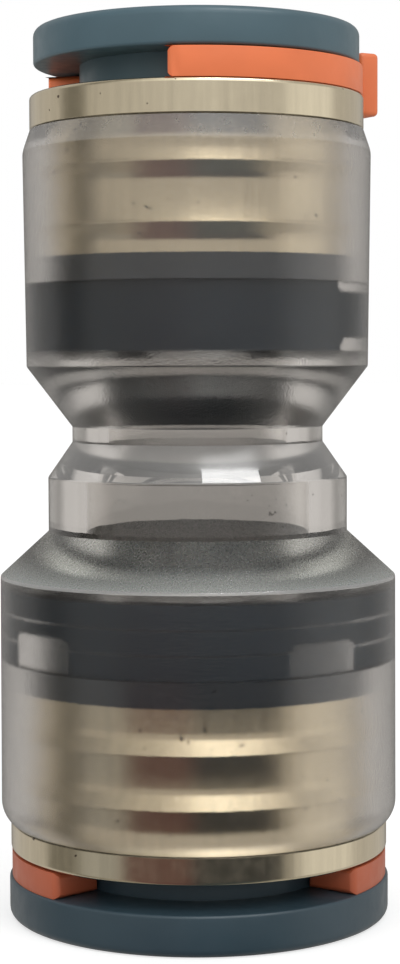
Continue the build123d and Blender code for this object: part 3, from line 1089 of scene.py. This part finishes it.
def clip_tab(sizes):
    """The clip's finger tab on the +X side, and the root that joins it to the ring."""
    inner = max(sizes.flange_radius, sizes.lip_radius) + TAB_CLEARANCE
    floor = sizes.lip_top + sizes.clip_lift
    ends = (
        height(sizes, floor - TAB_BELOW),
        height(sizes, floor + sizes.clip_thickness + TAB_ABOVE),
    )
    tab = block(
        "tab",
        (inner, -TAB_WIDTH / 2, min(ends)),
        (inner + sizes.tab_thickness, TAB_WIDTH / 2, max(ends)),
    )
    edit(tab, "EDGE")
    bpy.ops.mesh.bevel(offset=TAB_ROUNDING, segments=4, affect="EDGES")
    bpy.ops.object.mode_set(mode="OBJECT")
    low, high = clip_levels(sizes)
    half = TAB_WIDTH / 2 - TAB_ROUNDING
    root = block(
        "root",
        (sizes.lip_radius - CLIP_ROOT, -half, low),
        (inner + sizes.tab_thickness / 2, half, high),
    )
    combine(tab, root, "UNION")
    swing(tab, sizes.clip_azimuth)
    return tab


class COUPLING_OT_clips(Operator):
    """Spins the two locking clips and joins their finger tabs to them"""

    bl_idname = "coupling.clips"
    bl_label = "Locking clips"

    def execute(self, context):
        for name in PORTS:
            sizes = port(name)
            # For the large port this colour is darkened with painted shade
            shade = getattr(context.scene.coupling_finish, f"{name}_clip")
            plastic = moulded_plastic(f"{name}_clip_plastic", shade, 0.42)
            piece = clip_ring(f"{name}_open_clip", sizes)
            soften_edges(piece, CLIP_EDGE_ROUNDING, 3, CLIP_SMOOTH_ANGLE)
            combine(piece, clip_tab(sizes), "UNION")
            close_up(piece, CLIP_SMOOTH_ANGLE)
            seat(piece, f"{name}_clip", f"{name}_locking_clip", "clip_plastic", plastic)
        return {"FINISHED"}


class COUPLING_OT_claws(Operator):
    """Finishes the steel claws of both collets"""

    bl_idname = "coupling.claws"
    bl_label = "Claws"

    def execute(self, context):
        steel = claw_steel(context.scene.coupling_finish)
        claws = [piece for name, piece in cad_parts.items() if "claw" in name]
        if not claws:
            raise RuntimeError("the packed model has no claws")
        for claw in claws:
            claw.data.materials.clear()
            claw.data.materials.append(steel)
        return {"FINISHED"}


BACK_WALL = (0.26, 0.25, 0.235)
SIDE_WALL = (0.56, 0.54, 0.515)
DARK_EDGE = (0.21, 0.20, 0.18)
LEFT_WALLS = ((-180, BACK_WALL), (-165, BACK_WALL), (-150, SIDE_WALL), (-106, SIDE_WALL))
RIGHT_WALLS = ((110, SIDE_WALL), (150, SIDE_WALL), (165, BACK_WALL), (180, BACK_WALL))

# What polished surfaces see round the coupling: rings of colours, by direction in degrees from
# the camera's side, positive to the right. VIEW_LOW is the lowest ring, and each ring in BANDS
# takes over between its two heights, which are sines of the angle above the horizon.
VIEW_LOW = (
    *LEFT_WALLS,
    (-79, DARK_EDGE),
    (-60, (0.42, 0.40, 0.36)),
    (-38, (0.155, 0.085, 0.085)),
    (-8, (0.125, 0.072, 0.072)),
    (0, (0.056, 0.070, 0.076)),
    (42, (0.056, 0.070, 0.076)),
    (62, (0.42, 0.40, 0.36)),
    (102, (0.60, 0.58, 0.55)),
    *RIGHT_WALLS,
)
VIEW_FRONT = (
    *LEFT_WALLS,
    (-101, DARK_EDGE),
    (-79, DARK_EDGE),
    (-74, (0.43, 0.43, 0.42)),
    (-50, (0.37, 0.37, 0.36)),
    (-42, (0.14, 0.080, 0.075)),
    (-6, (0.12, 0.060, 0.055)),
    (-2, (0.030, 0.032, 0.036)),
    (48, (0.032, 0.034, 0.038)),
    (58, (0.45, 0.43, 0.40)),
    (68, (0.82, 0.80, 0.77)),
    (102, (0.82, 0.80, 0.77)),
    *RIGHT_WALLS,
)
VIEW_ABOVE = (
    *LEFT_WALLS,
    (-101, DARK_EDGE),
    (-84, DARK_EDGE),
    (-77, (0.57, 0.55, 0.52)),
    (0, (0.675, 0.66, 0.64)),
    (58, (0.61, 0.595, 0.575)),
    (68, (0.93, 0.91, 0.88)),
    (102, (0.93, 0.91, 0.88)),
    *RIGHT_WALLS,
)
VIEW_HIGH = (
    *LEFT_WALLS,
    (-79, DARK_EDGE),
    (-60, (0.55, 0.54, 0.51)),
    (-20, (1.05, 1.03, 0.97)),
    (10, (2.50, 2.46, 2.37)),
    (40, (1.80, 1.76, 1.70)),
    (58, (1.20, 1.17, 1.12)),
    (70, (0.60, 0.58, 0.55)),
    *RIGHT_WALLS,
)
CEILING = ((-180, (1.20, 1.18, 1.14)), (180, (1.20, 1.18, 1.14)))
BANDS = (
    (VIEW_FRONT, -0.45, -0.38),
    (VIEW_ABOVE, -0.122, -0.100),
    (VIEW_HIGH, 0.24, 0.32),
    (CEILING, 0.93, 0.97),
)
PLAIN_LIGHT = (0.79, 0.80, 0.80, 1)


def ring_of_colours(tree, share, stops):
    """A colour ramp over the directions round the coupling."""
    ramp = node(tree, "ValToRGB")
    elements = ramp.color_ramp.elements
    while len(elements) < len(stops):
        elements.new(0.5)
    for element, (degree, shade) in zip(elements, stops):
        element.position = degree / 360 + 0.5
        element.color = (*shade, 1)
    tree.links.new(share, ramp.inputs["Fac"])
    return ramp.outputs["Color"]


def polished_rays(tree):
    """One for a ray that left a polished or clear surface, and zero for any other."""
    rays = node(tree, "LightPath")
    return calculated(
        tree, "MAXIMUM", rays.outputs["Is Glossy Ray"], rays.outputs["Is Transmission Ray"]
    )


def surroundings():
    """White behind the coupling, plain light on it, and a plain room for its reflections."""
    world = bpy.data.worlds.new("studio")
    world.use_nodes = True
    world.cycles.sampling_method = "NONE"
    tree = world.node_tree
    rays = node(tree, "LightPath")
    direction = node(tree, "SeparateXYZ")
    tree.links.new(node(tree, "TexCoord").outputs["Generated"], direction.inputs[0])
    x, y, z = direction.outputs
    forwards = calculated(tree, "MULTIPLY", y, -1.0)
    around = ranged(tree, calculated(tree, "ARCTAN2", x, forwards), -pi, pi, 0, 1)
    room = ring_of_colours(tree, around, VIEW_LOW)
    for view, bottom, top in BANDS:
        share = ranged(tree, z, bottom, top, 0, 1)
        room = mixed(tree, share, room, ring_of_colours(tree, around, view))
    seen = mixed(tree, polished_rays(tree), PLAIN_LIGHT, room)
    backdrop = mixed(tree, rays.outputs["Is Camera Ray"], seen, (1, 1, 1, 1))
    tree.links.new(backdrop, tree.nodes["Background"].inputs["Color"])
    return world


def lamp(name, place_at, width, depth, power):
    """A soft lamp that looks at the middle of the coupling and lights it plainly."""
    light = bpy.data.lights.new(name, "AREA")
    light.shape = "RECTANGLE"
    light.size = width
    light.size_y = depth
    light.energy = power
    holder = bpy.data.objects.new(name, light)
    bpy.context.scene.collection.objects.link(holder)
    middle = Vector((0, 0, (cad_low.z + cad_high.z) / 2))
    holder.visible_glossy = False
    holder.visible_transmission = False
    holder.location = place_at
    holder.rotation_euler = (middle - Vector(place_at)).to_track_quat("-Z", "Y").to_euler()
    return holder


def floor_paint(shade):
    """Plain pale floor. Polished surfaces look past it to the plain room."""
    material, tree, shader = painted("floor", shade, Roughness=0.9)
    rays = node(tree, "LightPath")
    glow = calculated(tree, "MULTIPLY", rays.outputs["Is Camera Ray"], FLOOR_GLOW)
    shader.inputs["Emission Color"].default_value = (1, 1, 1, 1)
    tree.links.new(glow, shader.inputs["Emission Strength"])
    open_floor = node(tree, "BsdfTransparent")
    choice = node(tree, "MixShader")
    tree.links.new(polished_rays(tree), choice.inputs[0])
    tree.links.new(shader.outputs[0], choice.inputs[1])
    tree.links.new(open_floor.outputs[0], choice.inputs[2])
    tree.links.new(choice.outputs[0], tree.nodes["Material Output"].inputs["Surface"])
    return material


class COUPLING_OT_stage(Operator):
    """Sets out the floor, the lights and the camera"""

    bl_idname = "coupling.stage"
    bl_label = "Stage"

    def execute(self, context):
        scene = context.scene
        scene.world = surroundings()
        scene.view_settings.view_transform = "Standard"
        nothing_selected()
        bpy.ops.mesh.primitive_plane_add(size=FLOOR_SIZE, location=(0, 0, 0))
        floor = context.object
        floor.name = "floor"
        floor.data.materials.append(floor_paint(scene.coupling_finish.floor))
        lamp("key_light", (0.35, -0.45, 0.55), 0.35, 0.35, 1.6)
        lamp("fill_light", (-0.50, -0.30, 0.35), 0.40, 0.40, 0.8)
        window = lamp("window_light", (0.16, -0.175, 0.47), 0.30, 0.05, 0.54)
        window.rotation_euler.rotate_axis("Z", radians(WINDOW_TURN))
        window.visible_glossy = True
        window.visible_diffuse = False
        view = bpy.data.cameras.new("camera")
        view.lens = CAMERA_LENS
        view.sensor_width = 36
        view.clip_start = 0.005
        camera = bpy.data.objects.new("camera", view)
        scene.collection.objects.link(camera)
        camera.location = CAMERA_PLACE
        camera.rotation_euler = (
            Matrix.Rotation(radians(90 - CAMERA_PITCH), 3, "X")
            @ Matrix.Rotation(radians(CAMERA_ROLL), 3, "Z")
        ).to_euler()
        scene.camera = camera
        return {"FINISHED"}


STEPS = (
    COUPLING_OT_clear_body,
    COUPLING_OT_inserts,
    COUPLING_OT_seals,
    COUPLING_OT_spacers,
    COUPLING_OT_collets,
    COUPLING_OT_clips,
    COUPLING_OT_claws,
    COUPLING_OT_stage,
)


class COUPLING_PT_steps(Panel):
    """Lists the steps that make the coupling"""

    bl_idname = "COUPLING_PT_steps"
    bl_label = "Reducing coupling"
    bl_space_type = "VIEW_3D"
    bl_region_type = "UI"
    bl_category = "Coupling"

    def draw(self, context):
        for step in STEPS:
            self.layout.operator(step.bl_idname)


CLASSES = (LargePort, SmallPort, CouplingWaist, CouplingFinish, *STEPS, COUPLING_PT_steps)
GROUPS = {
    "large_port": LargePort,
    "small_port": SmallPort,
    "coupling_waist": CouplingWaist,
    "coupling_finish": CouplingFinish,
}


def register():
    for entry in CLASSES:
        bpy.utils.register_class(entry)
    for name, group in GROUPS.items():
        setattr(bpy.types.Scene, name, PointerProperty(type=group))


def unregister():
    for name in GROUPS:
        delattr(bpy.types.Scene, name)
    for entry in reversed(CLASSES):
        bpy.utils.unregister_class(entry)


def main():
    """Makes the coupling and its stage."""
    register()
    for step in STEPS:
        group, action = step.bl_idname.split(".")
        getattr(getattr(bpy.ops, group), action)()


if __name__ == "__main__":
    main()
